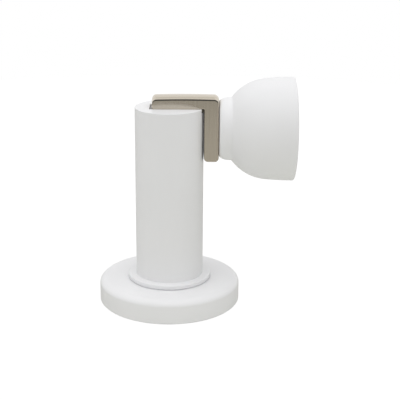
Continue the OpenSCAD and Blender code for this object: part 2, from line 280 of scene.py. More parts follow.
class StudioSettings(bpy.types.PropertyGroup):
    """Camera, floor and light."""
    camera_place: FloatVectorProperty(
        name="Camera place", description="Where the camera stands",
        subtype="TRANSLATION", unit="LENGTH", size=3, default=(0.0061, -0.3506, 0.1512))
    pitch: in_degrees("Look down", "How far the camera looks down", 17.81)
    yaw: in_degrees("Look left", "How far the camera turns left of +Y", -0.86)
    roll: in_degrees("Roll", "How far the picture's content turns clockwise", 0.46)
    lens: FloatProperty(
        name="Lens", description="Focal length on a 36 mm wide sensor, in millimetres",
        min=20, max=200, default=89.1)
    floor_radius: FloatProperty(
        name="Floor radius", description="Radius of the round table top",
        min=0.1, max=3, default=0.45, unit="LENGTH")
    floor_colour: tint(
        "Floor colour", "Colour that the floor throws back on the object", (0.76, 0.762, 0.71))
    floor_near: brightness(
        "Mirrored floor, near", "Brightness of the near floor in polished metal", 0.56, 1)
    floor_far: brightness(
        "Mirrored floor, far", "Brightness of the far floor in polished metal", 0.41, 1)
    front_wall: wall_light(
        "Front wall", "Light from before the object: at eye level, half up, high",
        (0.71, 0.26, 1.40))
    back_wall: wall_light(
        "Back wall", "Light from behind the object: at eye level, half up, high",
        (0.25, 0.02, 0.19))
    left_wall: wall_light(
        "Left wall", "Light from the left: at eye level, half up, high", (0.74, 0.43, 1.04))
    right_wall: wall_light(
        "Right wall", "Light from the right: at eye level, half up, high", (0.58, 0.25, 1.31))
    ceiling: brightness("Ceiling", "Light from straight above", 1.86, 4)
    reflection: brightness(
        "Reflected room", "Brightness of the white wall that polished metal shows", 1.03, 2)


def set_inputs(tree, node, inputs):
    """Links a node's inputs to sockets, or sets them to values."""
    for name, value in inputs.items():
        if isinstance(value, bpy.types.NodeSocket):
            tree.links.new(value, node.inputs[name])
        else:
            node.inputs[name].default_value = value


def add_node(tree, kind, inputs=None, **settings):
    """A node with its settings and its inputs."""
    node = tree.nodes.new(kind)
    for name, value in settings.items():
        setattr(node, name, value)
    set_inputs(tree, node, inputs or {})
    return node


def sum_of(tree, operation, first, second=0.0, clamp=False):
    """One arithmetic step on sockets or numbers."""
    return add_node(tree, "ShaderNodeMath", {0: first, 1: second}, operation=operation,
                    use_clamp=clamp).outputs[0]


def split(tree, vector):
    """The X, Y and Z of a vector, by their letters."""
    return add_node(tree, "ShaderNodeSeparateXYZ", {0: vector}).outputs


def either(tree, choice, first, second):
    """The first shader where the choice is 0, and the second where it is 1."""
    return add_node(tree, "ShaderNodeMixShader", {
        0: choice, 1: first.outputs[0], 2: second.outputs[0]})


def clean_material(name):
    """A new node material, with its tree, its shader and its output node."""
    material = bpy.data.materials.new(name)
    material.use_nodes = True
    tree = material.node_tree
    tree.nodes.clear()
    shader = add_node(tree, "ShaderNodeBsdfPrincipled")
    output = add_node(tree, "ShaderNodeOutputMaterial", {"Surface": shader.outputs["BSDF"]})
    return material, tree, shader, output


def object_place(tree, scale=(1, 1, 1)):
    """Object coordinates, stretched by scale."""
    place = add_node(tree, "ShaderNodeTexCoord").outputs["Object"]
    return add_node(tree, "ShaderNodeMapping", {"Vector": place, "Scale": scale}).outputs[0]


def uv_place(tree, uv_name, scale):
    """Coordinates of one UV map, stretched by scale."""
    place = add_node(tree, "ShaderNodeUVMap", uv_map=uv_name).outputs["UV"]
    return add_node(tree, "ShaderNodeMapping", {"Vector": place, "Scale": scale}).outputs[0]


def noise(tree, place, scale, detail=2.0, roughness=0.5):
    """Noise from 0 to 1 at a place socket."""
    return add_node(tree, "ShaderNodeTexNoise", {
        "Vector": place, "Scale": scale, "Detail": detail, "Roughness": roughness}).outputs["Fac"]


def map_range(tree, value, low, high, from_low=0.3, from_high=0.7):
    """A value that runs from low to high."""
    return add_node(tree, "ShaderNodeMapRange", {
        "Value": value, "From Min": from_low, "From Max": from_high, "To Min": low,
        "To Max": high}).outputs["Result"]


def mixed(tree, share_socket, first, second):
    """A colour between two colours, by a share from 0 to 1."""
    return add_node(tree, "ShaderNodeMix", {0: share_socket, 6: first, 7: second},
                    data_type="RGBA").outputs[2]


def tinted(tree, value, base, low, high):
    """The base colour made darker and lighter by a value, between two shares of itself."""
    return mixed(tree, value, (*[channel * low for channel in base], 1),
                 (*[min(1, channel * high) for channel in base], 1))


def bump(tree, height, depth, under=None):
    """A bump of a real depth, on top of another one if there is one."""
    inputs = {"Height": height, "Distance": depth, "Strength": 1}
    if under is not None:
        inputs["Normal"] = under
    return add_node(tree, "ShaderNodeBump", inputs).outputs["Normal"]


def powder_coat(name, settings):
    """Satin powder coat with a fine orange-peel skin."""
    material, tree, shader, _ = clean_material(name)
    place = object_place(tree)
    clouds = noise(tree, place, 1 / COAT_CLOUD, detail=1)
    skin = noise(tree, place, 1 / settings.peel_size, detail=2, roughness=0.45)
    grit = noise(tree, place, 4 / settings.peel_size, detail=1)
    peel = bump(tree, skin, settings.peel_depth)
    set_inputs(tree, shader, {
        "IOR": 1.5, "Coat Weight": 0.12, "Coat Roughness": 0.3,
        "Base Color": tinted(tree, map_range(tree, clouds, 0, 1), settings.colour, 0.985, 1.01),
        "Roughness": map_range(tree, skin, settings.roughness - 0.04, settings.roughness + 0.06),
        "Normal": bump(tree, grit, settings.peel_depth * 0.25, under=peel)})
    return material


def brushed_nickel(name, settings):
    """Satin nickel with brush marks that run along the first axis of the grain map, and painted
    shade: a dark, matt, unmetallic colour on the faces marked for it.
    """
    material, tree, shader, output = clean_material(name)
    along = MM / settings.streak_length
    across = MM / settings.streak_width
    fine = noise(tree, uv_place(tree, GRAIN_UV, (along, across, 1)), 1.0, detail=3, roughness=0.6)
    broad = noise(tree, uv_place(tree, GRAIN_UV, (along * 0.6, across * 0.16, 1)), 1.0, detail=2)
    speck = noise(tree, object_place(tree), 1 / settings.speck_size, detail=1)
    mottle = sum_of(tree, "ADD", map_range(tree, broad, 0, 0.5), map_range(tree, speck, 0, 0.5))
    # Painted shade: marked faces turn to the dark colour, lose their metal and grow rough.
    painted_shade = add_node(tree, "ShaderNodeAttribute", attribute_name=PAINTED_SHADE_LAYER).outputs["Fac"]
    shade = mixed(tree, painted_shade, tinted(tree, mottle, settings.colour, 0.93, 1.06), PAINTED_SHADE_COLOUR)
    gloss = map_range(tree, fine, settings.roughness - 0.05, settings.roughness + 0.07)
    coarse = bump(tree, broad, settings.streak_depth)
    tangent = add_node(tree, "ShaderNodeTangent", direction_type="UV_MAP", uv_map=GRAIN_UV)
    set_inputs(tree, shader, {
        "Specular IOR Level": 0, "Anisotropic": 0.35, "Base Color": shade,
        "Metallic": sum_of(tree, "SUBTRACT", 1, painted_shade),
        "Roughness": sum_of(tree, "MAXIMUM", gloss, sum_of(tree, "MULTIPLY", painted_shade, 0.6)),
        "Normal": bump(tree, fine, settings.streak_depth, under=coarse),
        "Tangent": tangent.outputs["Tangent"]})
    thrown = add_node(tree, "ShaderNodeBsdfDiffuse", {"Color": shade})
    rays = add_node(tree, "ShaderNodeLightPath").outputs
    metal = either(tree, rays["Is Diffuse Ray"], shader, thrown)
    set_inputs(tree, output, {"Surface": metal.outputs[0]})
    return material


def plated_steel(name, base, roughness):
    """Zinc or nickel plate with a faint mottle and fine scratches."""
    material, tree, shader, _ = clean_material(name)
    mottle = noise(tree, object_place(tree), 1 / PLATE_MOTTLE, detail=3)
    scratch = noise(tree, object_place(tree, (1, 9, 9)), 1 / PLATE_SCRATCH, detail=2)
    set_inputs(tree, shader, {
        "Metallic": 1, "Base Color": tinted(tree, map_range(tree, mottle, 0, 1), base, 0.9, 1.06),
        "Roughness": map_range(tree, scratch, roughness - 0.06, roughness + 0.08),
        "Normal": bump(tree, scratch, 0.003 * MM)})
    return material


def moulded_nylon(name, base):
    """Matt moulded nylon with a faint grain."""
    material, tree, shader, _ = clean_material(name)
    grain = noise(tree, object_place(tree), 1 / NYLON_GRAIN, detail=2)
    set_inputs(tree, shader, {
        "IOR": 1.53, "Subsurface Weight": 0.1, "Subsurface Radius": (MM, MM, MM),
        "Base Color": tinted(tree, map_range(tree, grain, 0, 1), base, 0.96, 1.02),
        "Roughness": map_range(tree, grain, 0.5, 0.62),
        "Normal": bump(tree, grain, 0.004 * MM)})
    return material


def turned_brass(name):
    """Brass with fine turning marks."""
    material, tree, shader, _ = clean_material(name)
    rings = noise(tree, object_place(tree, (0.2, 0.2, 1)), 1 / BRASS_RING, detail=2)
    set_inputs(tree, shader, {
        "Metallic": 1,
        "Base Color": tinted(tree, map_range(tree, rings, 0, 1), BRASS_COLOUR, 0.92, 1.05),
        "Roughness": map_range(tree, rings, 0.22, 0.36),
        "Normal": bump(tree, rings, 0.002 * MM)})
    return material


def dress(node_name, material):
    """Gives a node of the frame a new material in place of its own."""
    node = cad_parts[node_name]
    node.data.materials.clear()
    node.data.materials.append(material)


def new_tree(name, sockets):
    """An empty tree of geometry nodes with named inputs."""
    tree = bpy.data.node_groups.new(name, "GeometryNodeTree")
    for label, kind in sockets:
        tree.interface.new_socket(label, in_out="INPUT", socket_type="NodeSocket" + kind)
    tree.interface.new_socket("Geometry", in_out="OUTPUT", socket_type="NodeSocketGeometry")
    return tree, add_node(tree, "NodeGroupInput").outputs


def end_tree(tree, shape, material):
    """Ends a tree with real geometry in its material."""
    real = add_node(tree, "GeometryNodeRealizeInstances", {"Geometry": shape}).outputs[0]
    dressed = add_node(tree, "GeometryNodeSetMaterial", {"Geometry": real, "Material": material})
    add_node(tree, "NodeGroupOutput", {"Geometry": dressed.outputs[0]})
    return tree


def lathe_tree():
    """Turns the half section of a piece round Z, and cuts a thread between two heights."""
    tree, given = new_tree("lathe", (
        ("Half section", "Geometry"), ("Steps round", "Int"), ("Thread from", "Float"),
        ("Thread to", "Float"), ("Pitch", "Float"), ("Thread depth", "Float"),
        ("Material", "Material")))
    maths = functools.partial(sum_of, tree)
    rows = add_node(tree, "GeometryNodeAttributeDomainSize",
                    {"Geometry": given["Half section"]}).outputs["Point Count"]
    columns = maths("ADD", given["Steps round"], 1)
    sheet = add_node(tree, "GeometryNodeMeshGrid", {"Vertices X": columns, "Vertices Y": rows})
    index = add_node(tree, "GeometryNodeInputIndex").outputs[0]
    column = maths("FLOOR", maths("DIVIDE", maths("ADD", index, 0.5), rows))
    turn = maths("DIVIDE", column, given["Steps round"])
    place = add_node(tree, "GeometryNodeInputPosition").outputs[0]
    sample = add_node(tree, "GeometryNodeSampleIndex", data_type="FLOAT_VECTOR", domain="POINT")
    set_inputs(tree, sample, {"Geometry": given["Half section"], "Value": place,
                              "Index": maths("MODULO", index, rows)})
    section = split(tree, sample.outputs["Value"])
    height = section["Z"]
    wave = maths("FRACT", maths("SUBTRACT", maths("DIVIDE", height, given["Pitch"]), turn))
    flank = maths("ABSOLUTE", maths("SUBTRACT", maths("MULTIPLY", wave, 2), 1))
    run_in = maths("DIVIDE", maths("SUBTRACT", height, given["Thread from"]), given["Pitch"],
                   clamp=True)
    run_out = maths("DIVIDE", maths("SUBTRACT", given["Thread to"], height), given["Pitch"],
                    clamp=True)
    cut = maths("MULTIPLY", maths("MULTIPLY", flank, given["Thread depth"]),
                maths("MULTIPLY", run_in, run_out))
    half = add_node(tree, "ShaderNodeCombineXYZ",
                    {"X": maths("SUBTRACT", section["X"], cut), "Z": height}).outputs[0]
    turned = add_node(tree, "ShaderNodeVectorRotate",
                      {"Vector": half, "Angle": maths("MULTIPLY", turn, 2 * math.pi)},
                      rotation_type="Z_AXIS").outputs[0]
    shell = add_node(tree, "GeometryNodeSetPosition",
                     {"Geometry": sheet.outputs["Mesh"], "Position": turned}).outputs[0]
    closed = add_node(tree, "GeometryNodeMergeByDistance", {"Geometry": shell, "Distance": WELD})
    return end_tree(tree, closed.outputs[0], given["Material"])


def drill_tree():
    """Cuts a tool's shape out of a piece, at even steps round a circle."""
    tree, given = new_tree("drill round a circle", (
        ("Piece", "Geometry"), ("Tool", "Object"), ("Count", "Int"), ("Circle radius", "Float"),
        ("Material", "Material")))
    index = add_node(tree, "GeometryNodeInputIndex").outputs[0]
    turn = sum_of(tree, "DIVIDE", sum_of(tree, "MULTIPLY", index, 2 * math.pi), given["Count"])
    first = add_node(tree, "ShaderNodeCombineXYZ", {"X": given["Circle radius"]}).outputs[0]
    place = add_node(tree, "ShaderNodeVectorRotate", {"Vector": first, "Angle": turn},
                     rotation_type="Z_AXIS").outputs[0]
    points = add_node(tree, "GeometryNodePoints", {"Count": given["Count"], "Position": place})
    tool = add_node(tree, "GeometryNodeObjectInfo", {"Object": given["Tool"]})
    tools = add_node(tree, "GeometryNodeInstanceOnPoints",
                     {"Points": points.outputs[0], "Instance": tool.outputs["Geometry"]})
    solid = add_node(tree, "GeometryNodeRealizeInstances", {"Geometry": tools.outputs[0]})
    holes = add_node(tree, "GeometryNodeMeshBoolean",
                     {"Mesh 1": given["Piece"], "Mesh 2": solid.outputs[0]},
                     operation="DIFFERENCE", solver="EXACT")
    return end_tree(tree, holes.outputs["Mesh"], given["Material"])


def run_tree(piece, tree, values):
    """Runs a tree on a piece and leaves the piece with a plain mesh and no modifier."""
    modifier = piece.modifiers.new(tree.name, "NODES")
    modifier.node_group = tree
    for item in tree.interface.items_tree:
        if item.in_out == "INPUT" and item.name in values:
            modifier[item.identifier] = values[item.name]
    apply_modifiers(piece)


def add_object(name, data):
    """A mesh or a camera as an object of the scene."""
    made = bpy.data.objects.new(name, data)
    bpy.context.scene.collection.objects.link(made)
    return made


def turn_piece(name, section, steps, material=None, thread=None):
    """A piece turned from its half section, a list of (radius, height) in order."""
    mesh = bpy.data.meshes.new(name)
    mesh.from_pydata([(x, 0, z) for x, z in section], [(i, i + 1) for i in range(len(section) - 1)],
                     [])
    piece = add_object(name, mesh)
    low, high, pitch, depth = thread or (0, 0, MM, 0)
    run_tree(piece, lathe_tree(), {
        "Steps round": steps, "Thread from": low, "Thread to": high, "Pitch": pitch,
        "Thread depth": depth, "Material": material})
    face_outwards(piece.data)
    return piece


def drill(piece, tool, count=1, radius=0.0, material=None):
    """Cuts the tool out of the piece round a circle, and drops the tool."""
    run_tree(piece, drill_tree(), {
        "Tool": tool, "Count": count, "Circle radius": radius, "Material": material})
    bpy.data.objects.remove(tool)


def face_outwards(mesh):
    """Turns every face of a closed mesh outwards."""
    bm = bmesh.new()
    bm.from_mesh(mesh)
    bmesh.ops.recalc_face_normals(bm, faces=bm.faces)
    bm.to_mesh(mesh)
    bm.free()


def apply_modifiers(piece):
    """Turns a piece's evaluated shape into its plain mesh and drops its modifiers."""
    graph = bpy.context.evaluated_depsgraph_get()
    mesh = bpy.data.meshes.new_from_object(piece.evaluated_get(graph))
    piece.modifiers.clear()
    piece.data = mesh


def finish_piece(piece, node, degrees=30):
    """Smooths a finished mesh, keeps its flat faces even, and hands it to the frame."""
    piece.data.shade_smooth()
    piece.data.set_sharp_from_angle(angle=math.radians(degrees))
    even = piece.modifiers.new("even flats", "WEIGHTED_NORMAL")
    even.keep_sharp = True
    apply_modifiers(piece)
    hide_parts(node)
    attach(piece, BODY_OF[node])


def arc(centre, radius, start, end, steps):
    """Points of a circle's arc from one angle to another, in degrees."""
    for step in range(steps + 1):
        angle = math.radians(start + (end - start) * step / steps)
        yield centre[0] + radius * math.cos(angle), centre[1] + radius * math.sin(angle)


def along_bell_axis():
    """Turns +Z onto the bell's axis."""
    low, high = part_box("bell")
    return Matrix.Translation((0, 0, (low.z + high.z) / 2)) @ Matrix.Rotation(
        math.radians(90), 4, "Y")


def post_section(sizes):
    """Half section of the post: bore, spigot, flange, shaft and rim."""
    low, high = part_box("post")
    spigot, shaft, bore = sizes.spigot_radius, sizes.shaft_radius, sizes.bore_radius
    flange, foot, rim = sizes.flange_round, high.y, sizes.rim_round
    ceiling = high.z - sizes.slot_depth
    flange_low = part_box("foot_washer")[1].z
    flange_top = flange_low + sizes.flange_thickness
    points = [(0, ceiling), (bore, ceiling), (bore, low.z), (spigot, low.z), (spigot, flange_low),
              (foot, flange_low)]
    points += arc((foot - flange, flange_top - flange), flange, 0, 90, 10)
    points.append((shaft, flange_top))
    points += arc((shaft - rim, high.z - rim), rim, 0, 90, 6)
    points.append((0, high.z))
    return points


def build_post(sizes, material):
    """The post with the slot across its top."""
    post = turn_piece("post_turned", post_section(sizes), sizes.steps, material)
    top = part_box("post")[1].z
    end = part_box("catch")[0].x - sizes.slot_end_gap
    bm = bmesh.new()
    bmesh.ops.create_cube(bm, size=1)
    reach = 2 * sizes.shaft_radius
    depth = 2 * (sizes.slot_depth + WELD)
    bmesh.ops.scale(bm, vec=(reach, sizes.slot_width, depth), verts=bm.verts)
    bmesh.ops.translate(bm, vec=(end + reach / 2, 0, top), verts=bm.verts)
    drill(post, mesh_object("slot tool", bm), material=material)
    return post


def build_rose(sizes, material):
    """The cover rose: a shallow turned cap with a hole for the spigot."""
    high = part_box("cover_rose")[1]
    radius, height, wall = high.x, high.z, sizes.rose_wall
    edge, drop = sizes.rose_round, sizes.rose_drop
    hole, foot = sizes.spigot_radius + SLIP, sizes.rose_foot_break
    inner, roof = radius - wall, height - wall
    points = [(hole, roof)]
    points += reversed(list(arc((inner - drop, roof - drop), drop, 0, 90, 12)))
    points += [(inner, 0), (radius - foot, 0), (radius, foot)]
    points += [(radius - edge + edge * x, height - drop + drop * z)
               for x, z in arc((0, 0), 1, 0, 90, 20)]
    points += [(hole, height), (hole, roof)]
    return turn_piece("rose_turned", points, sizes.steps, material)


def circles_meet(first, first_radius, second, second_radius):
    """Where two circles meet, on the left of the line from the first centre to the second."""
    line = second - first
    share = (line.length_squared + first_radius ** 2 - second_radius ** 2) / (
        2 * line.length_squared)
    off = math.sqrt(first_radius ** 2 / line.length_squared - share ** 2)
    return first + line * share + Vector((-line.y, line.x)) * off


def heading(way):
    """Direction of a flat vector in degrees."""
    return math.degrees(math.atan2(way.y, way.x))


def bell_section(sizes):
    """Half section of the bell along its axis: neck, dome, mouth, seat and hollow."""
    low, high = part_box("bell")
    start, mouth, radius = low.x, high.x, high.y
    neck, neck_edge, wall = sizes.neck_radius, sizes.neck_round, sizes.bell_wall
    dome = start + sizes.neck_length
    middle = dome + math.sqrt(radius ** 2 - neck ** 2)
    floor = start + sizes.neck_wall
    seat_in = radius - wall
    seat_out = seat_in + sizes.seat_step
    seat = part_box("door_plate")[0].x
    hole = sizes.neck_hole_radius
    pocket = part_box("neck_bush")[1].y + POCKET_ROOM
    lip = sizes.mouth_round
    points = [(hole, start)]
    drop = sizes.neck_drop
    points += [(neck - drop + drop * x, start + neck_edge + neck_edge * z)
               for x, z in arc((0, 0), 1, -90, 0, 20)]
    ball, flare, fillet = sizes.dome_radius, sizes.flare_radius, sizes.neck_fillet
    far = Vector((radius - flare, mouth))
    near = circles_meet(far, flare - ball, Vector((neck, dome)), ball)
    hollow = Vector((neck + fillet, near.y - math.sqrt(
        (ball + fillet) ** 2 - (neck + fillet - near.x) ** 2)))
    inwards, along = heading(near - hollow), heading(near - far)
    points += arc(hollow, fillet, 180, inwards, 10)
    points += list(arc(near, ball, inwards - 180, along, 30))[1:]
    points += list(arc(far, flare, along, -math.degrees(lip / flare), 12))[1:]
    points += list(arc((radius - lip, mouth - lip), lip, 0, 90, 8))[1:]
    points += [(seat_out, mouth), (seat_out, seat), (seat_in, seat)]
    last = math.degrees(math.acos(pocket / seat_in))
    points += arc((0, middle), seat_in, 0, -last, 24)
    points += [(pocket, floor), (hole, floor), (hole, start)]
    return points


def build_bell(sizes, material):
    """The bell with the tapped hole of its grub screw."""
    bell = turn_piece("bell_turned", bell_section(sizes), sizes.steps, material)
    bell.data.transform(along_bell_axis())
    low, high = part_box("grub_screw")
    radius = (high.x - low.x) / 2 + THREAD_GAP
    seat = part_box("door_plate")[0].z - SLIP
    tool = turn_piece("grub tool", plug(radius, low.z - 2 * OVER, seat + OVER),
                      steps=GRUB_TOOL_SIDES)
    tool.data.transform(Matrix.Translation(((low.x + high.x) / 2, 0, 0)))
    drill(bell, tool, material=material)
    return bell


def plug(radius, low, high):
    """Half section of a plain cylinder."""
    return [(0, low), (radius, low), (radius, high), (0, high)]


def hexagon_tool(flats, depth, top):
    """A hexagonal plug that opens upwards at a height."""
    radius = flats / 2 / math.cos(math.radians(30))
    return turn_piece("hexagon tool", plug(radius, top - depth, top + OVER), steps=6)


def threaded(low, high, radius, pitch):
    """Rows of a shank's half section, close enough for its thread."""
    rows = max(2, math.ceil((high - low) / pitch * THREAD_ROWS))
    return [(radius, low + (high - low) * row / rows) for row in range(rows + 1)]


def build_centre_screw(sizes, material):
    """The countersunk screw that pulls the post onto its floor plate."""
    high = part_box("centre_screw")[1]
    head, length, pitch = high.x, high.z, sizes.centre_pitch
    radius = head / 2
    shank = radius - THREAD_GAP
    section = [(0, 0), (head, 0), (radius, radius), (shank, radius)]
    section += threaded(radius + NECK_LENGTH, length - CHAMFER, shank, pitch)
    section += [(shank - CHAMFER, length), (0, length)]
    thread = (radius, length, pitch, sizes.thread_share * pitch)
    screw = turn_piece("centre_screw_threaded", section, SCREW_SIDES, material, thread)
    screw.data.transform(Matrix.Rotation(math.pi, 4, "X"))
    drill(screw, hexagon_tool(SOCKET_FLATS * head, SOCKET_DEPTH * head, 0), material=material)
    screw.data.transform(Matrix.Rotation(math.pi, 4, "X"))
    return screw


def build_catch_screw(sizes, material):
    """The round-headed screw that holds the bell on the catch."""
    low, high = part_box("catch_screw")
    thickness = 2 * CATCH_SCREW_RADIUS
    shank, head, pitch = CATCH_SCREW_RADIUS - THREAD_GAP, high.y, sizes.catch_pitch
    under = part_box("spring_washer")[1].x
    edge = (high.x - under) / 2
    thread_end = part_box("bell")[0].x
    section = [(0, low.x), (shank - CHAMFER, low.x)]
    section += threaded(low.x + CHAMFER, thread_end, shank, pitch)
    section += [(shank, under), (head, under)]
    section += arc((head - edge, high.x - edge), edge, 0, 90, 12)
    section.append((0, high.x))
    thread = (low.x, thread_end, pitch, sizes.thread_share * pitch)
    screw = turn_piece("catch_screw_threaded", section, SCREW_SIDES, material, thread)
    tool = hexagon_tool(SOCKET_FLATS * thickness, SOCKET_DEPTH * thickness, high.x)
    drill(screw, tool, material=material)
    screw.data.transform(along_bell_axis())
    return screw


def build_grub_screw(sizes, material):
    """The cone-pointed grub screw that locks the bell on its door plate."""
    low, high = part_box("grub_screw")
    length = high.z - low.z
    shank, pitch = (high.x - low.x) / 2, sizes.grub_pitch
    cone_start = length - GRUB_CONE
    section = [(0, 0), (shank - GRUB_CHAMFER, 0)]
    section += threaded(GRUB_CHAMFER, cone_start, shank, pitch)
    section += [(GRUB_CONE + GRUB_POINT, cone_start), (GRUB_POINT, length), (0, length)]
    thread = (0, cone_start, pitch, sizes.thread_share * pitch)
    screw = turn_piece("grub_screw_threaded", section, GRUB_SIDES, material, thread)
    screw.data.transform(Matrix.Rotation(math.pi, 4, "X"))
    tool = hexagon_tool(shank + THREAD_GAP, GRUB_SOCKET_DEPTH * shank, 0)
    drill(screw, tool, material=material)
    screw.data.transform(Matrix.Translation(((low.x + high.x) / 2, 0, low.z))
                         @ Matrix.Rotation(math.pi, 4, "X"))
    return screw


def countersink_tool(radius, face):
    """The tool of a countersunk hole in a plate from height 0 to face."""
    section = [(0, -OVER), (radius, -OVER), (radius, face - radius), (2 * radius, face),
               (2 * radius, face + OVER), (0, face + OVER)]
    return turn_piece("countersink tool", section, steps=TOOL_SIDES)


def build_floor_plate(sizes, material):
    """The floor plate with its countersunk holes and the centre screw's seat."""
    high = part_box("floor_plate")[1]
    radius, face = high.x, high.z
    screw_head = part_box("centre_screw")[1].x
    shank, head = screw_head / 2 + SLIP, screw_head + SLIP
    section = [(head, 0), (radius, 0), (radius, face), (shank, face), (shank, head - shank),
               (head, 0)]
    plate = turn_piece("floor_plate_drilled", section, PLATE_SIDES, material)
    drill(plate, countersink_tool(sizes.hole_radius, face), sizes.hole_count, sizes.floor_circle,
          material)
    return plate


def build_door_plate(sizes, material):
    """The plate in the bell's mouth, with its groove and its countersunk holes."""
    low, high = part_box("door_plate")
    radius, face, groove = high.y, high.x - low.x, sizes.groove
    middle = face / 2
    section = [(0, 0), (radius, 0), (radius, middle - groove), (radius - groove, middle),
               (radius, middle + groove), (radius, face), (0, face)]
    plate = turn_piece("door_plate_drilled", section, PLATE_SIDES, material)
    drill(plate, countersink_tool(sizes.hole_radius, face), sizes.hole_count, sizes.door_circle,
          material)
    plate.data.transform(along_bell_axis() @ Matrix.Translation((0, 0, high.x))
                         @ Matrix.Rotation(math.pi, 4, "X"))
    return plate


def rounded_outline(corners, steps):
    """An outline through corners given as (place along, place up, radius), turning left."""
    points = []
    for i, (x, y, radius) in enumerate(corners):
        here = Vector((x, y))
        back = (Vector(corners[i - 1][:2]) - here).normalized()
        ahead = (Vector(corners[(i + 1) % len(corners)][:2]) - here).normalized()
        if radius == 0:
            points.append(here)
            continue
        centre = here + (back + ahead) * radius
        for step in range(steps + 1):
            turn = math.radians(90 * step / steps)
            points.append(centre - (ahead * math.cos(turn) + back * math.sin(turn)) * radius)
    return points


def catch_outline(box, sizes, inset, top, relief):
    """The catch's outline at one depth, drawn in by inset, as places along X and Z."""
    low, high = box
    inner = high.x - sizes.leg_thickness + inset * sizes.inner_edge_share
    under = high.z - sizes.arm_thickness
    relief_x, relief_z = inner - relief * sizes.relief_width, under + relief * sizes.relief_height
    end, corner = sizes.end_round - inset, sizes.corner_round - inset
    middle, half = (low.x + high.x) / 2, (high.x - low.x) / 2
    span = half - sizes.corner_round
    ridge = [(middle + span * (1 - 2 * step / sizes.arc_steps), top, 0)
             for step in range(sizes.arc_steps + 1)]
    points = rounded_outline([
        (low.x + inset, under + inset, end), (relief_x, under + inset, 0),
        (relief_x, relief_z + inset, 0), (inner, relief_z + inset, relief * sizes.relief_round),
        (inner, low.z + inset, end), (high.x - inset, low.z + inset, end),
        (high.x - inset, top, corner), *ridge[1:-1], (low.x + inset, top, end)], sizes.arc_steps)
    waist = high.z - sizes.arm_thickness / 2
    return [(x, z - sizes.arch * ((x - middle) / half) ** 2 if z > waist else z)
            for x, z in points]


def catch_rows(box, sizes):
    """The front half's rows from the middle out: depth, inset, top and relief of each."""
    high = box[1]
    half, edge, crown = high.y, sizes.edge_round, sizes.crown
    crown_radius = (half ** 2 + crown ** 2) / (2 * crown)
    centre = high.z - crown_radius
    edge_y = half - edge
    rise = math.sqrt((crown_radius - edge) ** 2 - edge_y ** 2)
    relief_y = half - sizes.relief_depth
    rows = []
    for step in range(sizes.arc_steps):
        y = relief_y * step / sizes.arc_steps
        rows.append((y, 0, centre + math.sqrt(crown_radius ** 2 - y ** 2), CLOSED))
    for y, relief in ((relief_y, CLOSED), (relief_y + WELD, 1)):
        rows.append((y, 0, centre + math.sqrt(crown_radius ** 2 - y ** 2), relief))
    for turn, side in arc((0, 0), 1, 90, 0, sizes.arc_steps):
        y = edge_y + edge * turn
        top = centre + min(rise + edge * side, math.sqrt(crown_radius ** 2 - y ** 2))
        rows.append((y, edge * (1 - side), top, 1))
    return rows


def build_catch(sizes, material):
    """The L-shaped catch: rounded outlines, row behind row under a crown, less the screw's hole."""
    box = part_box("catch")
    rows = catch_rows(box, sizes)
    rows = [(-y, *rest) for y, *rest in reversed(rows)] + rows[1:]
    bm = bmesh.new()
    rings = [[bm.verts.new((x, y, z)) for x, z in catch_outline(box, sizes, inset, top, relief)]
             for y, inset, top, relief in rows]
    bm.faces.new(rings[0])
    bm.faces.new(list(reversed(rings[-1])))
    for front, back in zip(rings, rings[1:]):
        for i, start in enumerate(front):
            j = (i + 1) % len(front)
            bm.faces.new((start, back[i], back[j], front[j]))
    catch = mesh_object("catch_bar", bm)
    catch.data.materials.append(material)
    low, high = box
    tool = turn_piece("catch tool", plug(sizes.hole_radius, low.x, high.x + OVER),
                      steps=TOOL_SIDES)
    tool.data.transform(along_bell_axis())
    drill(catch, tool, material=material)
    return catch


def mark_painted_shade_faces(mesh, sizes):
    """Marks painted shade on the faces that lie against the post or under the arm, and fainter
    painted shade in the hollow of the inner corner.
    """
    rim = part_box("post")[1].z
    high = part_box("catch")[1]
    front = high.y - FACE_SKIN
    leg = high.x - sizes.leg_thickness
    reach = leg - HOLLOW_REACH * sizes.relief_width
    layer = mesh.attributes.new(PAINTED_SHADE_LAYER, "FLOAT", "FACE")
    for polygon in mesh.polygons:
        x, y, z = polygon.center
        inner = polygon.normal.x < -FACING and x > 0
        under = polygon.normal.z < -FACING and x < leg
        hollow = z < rim and abs(y) < front and reach < x < leg + FACE_SKIN / 2
        layer.data[polygon.index].value = 1 if inner or under else HOLLOW_PAINTED_SHADE if hollow else 0


def add_grain_map(mesh):
    """UV map in millimetres whose first axis is the way that each face was brushed."""
    layer = mesh.uv_layers.new(name=GRAIN_UV)
    for polygon in mesh.polygons:
        normal = polygon.normal
        flat_side = abs(normal.y) > FACING
        top_or_bottom = abs(normal.z) > abs(normal.x)
        for loop in polygon.loop_indices:
            place = mesh.vertices[mesh.loops[loop].vertex_index].co / MM
            if flat_side:
                layer.data[loop].uv = (place.z, place.x)
            elif top_or_bottom:
                layer.data[loop].uv = (place.x, place.y)
            else:
                layer.data[loop].uv = (place.z, place.y)


def mesh_object(name, bm):
    """A scene object from a bmesh, with its faces outwards. The bmesh is freed."""
    mesh = bpy.data.meshes.new(name)
    bmesh.ops.recalc_face_normals(bm, faces=bm.faces)
    bm.to_mesh(mesh)
    bm.free()
    return add_object(name, mesh)


class DOORSTOP_OT_white_pieces(bpy.types.Operator):
    """Turns the post, the rose and the bell, in their powder coat."""
    bl_idname = "doorstop.white_pieces"
    bl_label = "Turn the white pieces"

    def execute(self, context):
        scene = context.scene
        coat = powder_coat("white powder coat", scene.doorstop_coat)
        sizes = scene.doorstop_turning
        finish_piece(build_post(sizes, coat), "post")
        finish_piece(build_rose(sizes, coat), "cover_rose")
        finish_piece(build_bell(sizes, coat), "bell")
        return {"FINISHED"}


